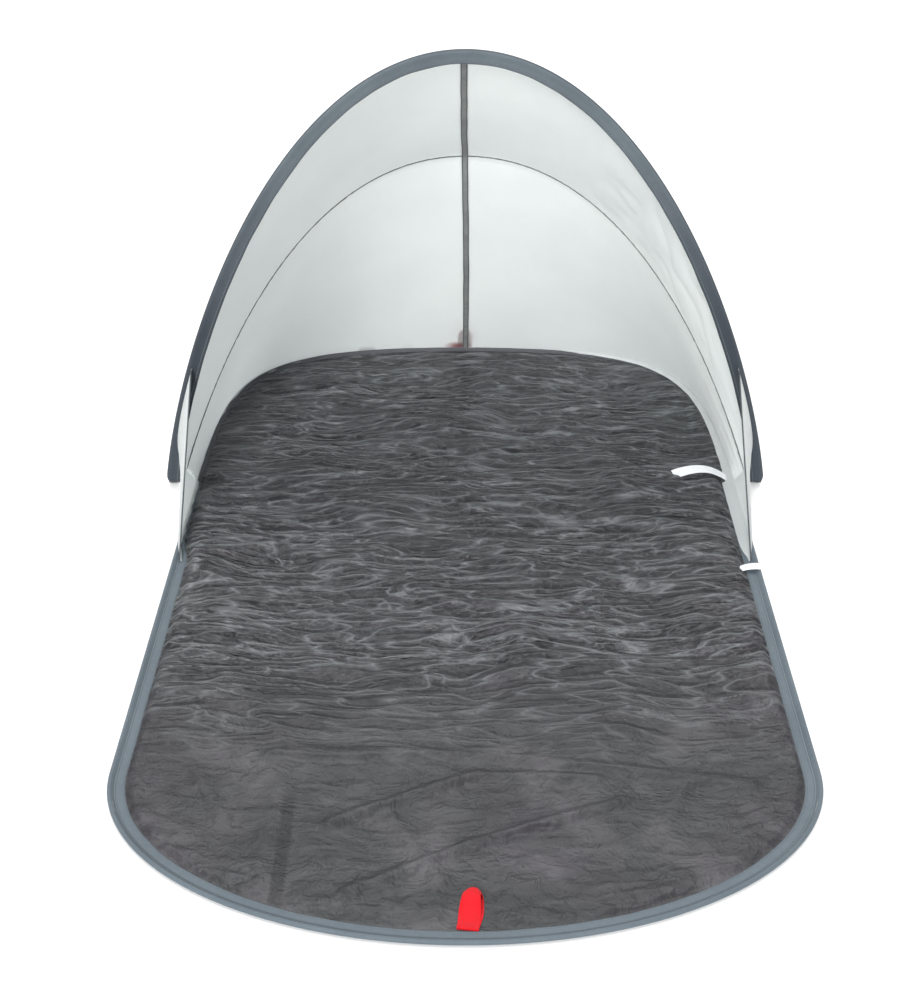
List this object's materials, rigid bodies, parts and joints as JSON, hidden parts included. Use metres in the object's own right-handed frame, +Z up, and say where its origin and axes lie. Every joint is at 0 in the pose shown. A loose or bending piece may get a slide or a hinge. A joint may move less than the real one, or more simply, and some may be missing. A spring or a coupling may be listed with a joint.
{
  "type": "pop-up beach shelter",
  "caption": "Half-open pop-up shelter: a groundsheet inside a sprung base ring, a tall front arch, a two-part canopy behind it, side wings, pull loops and labels.",
  "frame": {"origin": "on the ground, under the middle of the object's box", "axes": "+X to the right of someone who looks in, +Y to the back of the shelter, +Z up"},
  "size_m": [1.2124, 1.9999, 0.8939],
  "materials": {
    "groundsheet": "crinkled coated woven groundsheet, charcoal, slight sheen",
    "hem_cloth": "plain woven polyester hem, blue grey, matt",
    "sleeve_cloth": "plain woven polyester ring sleeve, dark blue grey",
    "canopy_cloth": "thin silver-coated canopy cloth, light grey, slightly translucent",
    "seam_tape": "woven seam tape with two rows of stitching",
    "edge_binding": "folded edge binding",
    "red_webbing": "red ribbed webbing",
    "label_satin": "plain white satin label",
    "spring_steel": "drawn spring-steel wire",
    "crimp_metal": "zinc-plated crimped tube"
  },
  "bodies": {
    "back": {"base_hem_rear": "hem_cloth", "base_wire_rear": "spring_steel", "rear_sleeve": "sleeve_cloth", "rear_wire": "spring_steel", "floor_rear": "groundsheet", "back_panel_right": "canopy_cloth", "back_panel_left": "canopy_cloth", "centre_tape_back": "seam_tape"},
    "porch": {"base_hem_front": "hem_cloth", "base_wire_front": "spring_steel", "base_wire_ferrule": "crimp_metal", "floor_porch": "groundsheet"},
    "arch": {"arch_sleeve": "sleeve_cloth", "arch_wire": "spring_steel", "arch_wire_ferrule": "crimp_metal"},
    "canopy_seam": {"roof_panel_right": "canopy_cloth", "roof_panel_left": "canopy_cloth", "centre_tape_roof": "seam_tape", "arc_seam_tape_right": "seam_tape", "arc_seam_tape_left": "seam_tape"},
    "wing_right": {"side_wing_right": "canopy_cloth", "edge_binding_right": "edge_binding"},
    "wing_left": {"side_wing_left": "canopy_cloth", "edge_binding_left": "edge_binding"},
    "tab_front": {"pull_tab_front": "red_webbing"},
    "tab_rear": {"pull_tab_rear": "red_webbing"},
    "care_tag": {"care_label": "label_satin"},
    "side_tag": {"side_label": "label_satin"}
  },
  "joints": [
    {"name": "arch_fold", "type": "hinge", "parent": "back", "child": "arch", "pos_m": [0, 0.31, 0.0087], "axis": [-1, 0, 0], "range_deg": [0, 80], "stiffness_Nm_per_rad": 2, "springref_deg": -28.65, "deforming": ["roof_panel_right", "roof_panel_left", "back_panel_right", "back_panel_left", "centre_tape_roof", "centre_tape_back", "arc_seam_tape_right", "arc_seam_tape_left", "side_wing_right", "side_wing_left", "edge_binding_right", "edge_binding_left", "care_label"]},
    {"name": "porch_fold", "type": "hinge", "parent": "back", "child": "porch", "pos_m": [0, 0.31, 0.0087], "axis": [-1, 0, 0], "range_deg": [0, 160]},
    {"name": "canopy_seam_fold", "type": "hinge", "parent": "back", "child": "canopy_seam", "pos_m": [0, 0.31, 0.0087], "axis": [-1, 0, 0], "range_deg": [0, 53]},
    {"name": "wing_right_fold", "type": "hinge", "parent": "porch", "child": "wing_right", "pos_m": [0, 0.31, 0.0087], "axis": [-1, 0, 0], "range_deg": [-80, 0]},
    {"name": "wing_left_fold", "type": "hinge", "parent": "porch", "child": "wing_left", "pos_m": [0, 0.31, 0.0087], "axis": [-1, 0, 0], "range_deg": [-80, 0]},
    {"name": "tab_front_flip", "type": "hinge", "parent": "porch", "child": "tab_front", "pos_m": [0, -0.9705, 0.0034], "axis": [1, 0, 0], "range_deg": [0, 130]},
    {"name": "tab_rear_flip", "type": "hinge", "parent": "back", "child": "tab_rear", "pos_m": [0, 0.9826, 0.0112], "axis": [-1, 0, 0], "range_deg": [0, 95]},
    {"name": "care_label_flip", "type": "hinge", "parent": "back", "child": "care_tag", "pos_m": [0.5355, 0.33, 0.003], "axis": [0, 1, 0], "range_deg": [0, 80]},
    {"name": "side_label_flip", "type": "hinge", "parent": "porch", "child": "side_tag", "pos_m": [0.5479, -0.027, 0.0097], "axis": [0, 1, 0], "range_deg": [0, 100]}
  ],
  "couplings": [
    {"joint": "porch_fold", "follows": "arch_fold", "ratio": 2},
    {"joint": "canopy_seam_fold", "follows": "arch_fold", "ratio": 0.6625},
    {"joint": "wing_right_fold", "follows": "arch_fold", "ratio": -1},
    {"joint": "wing_left_fold", "follows": "arch_fold", "ratio": -1}
  ]
}
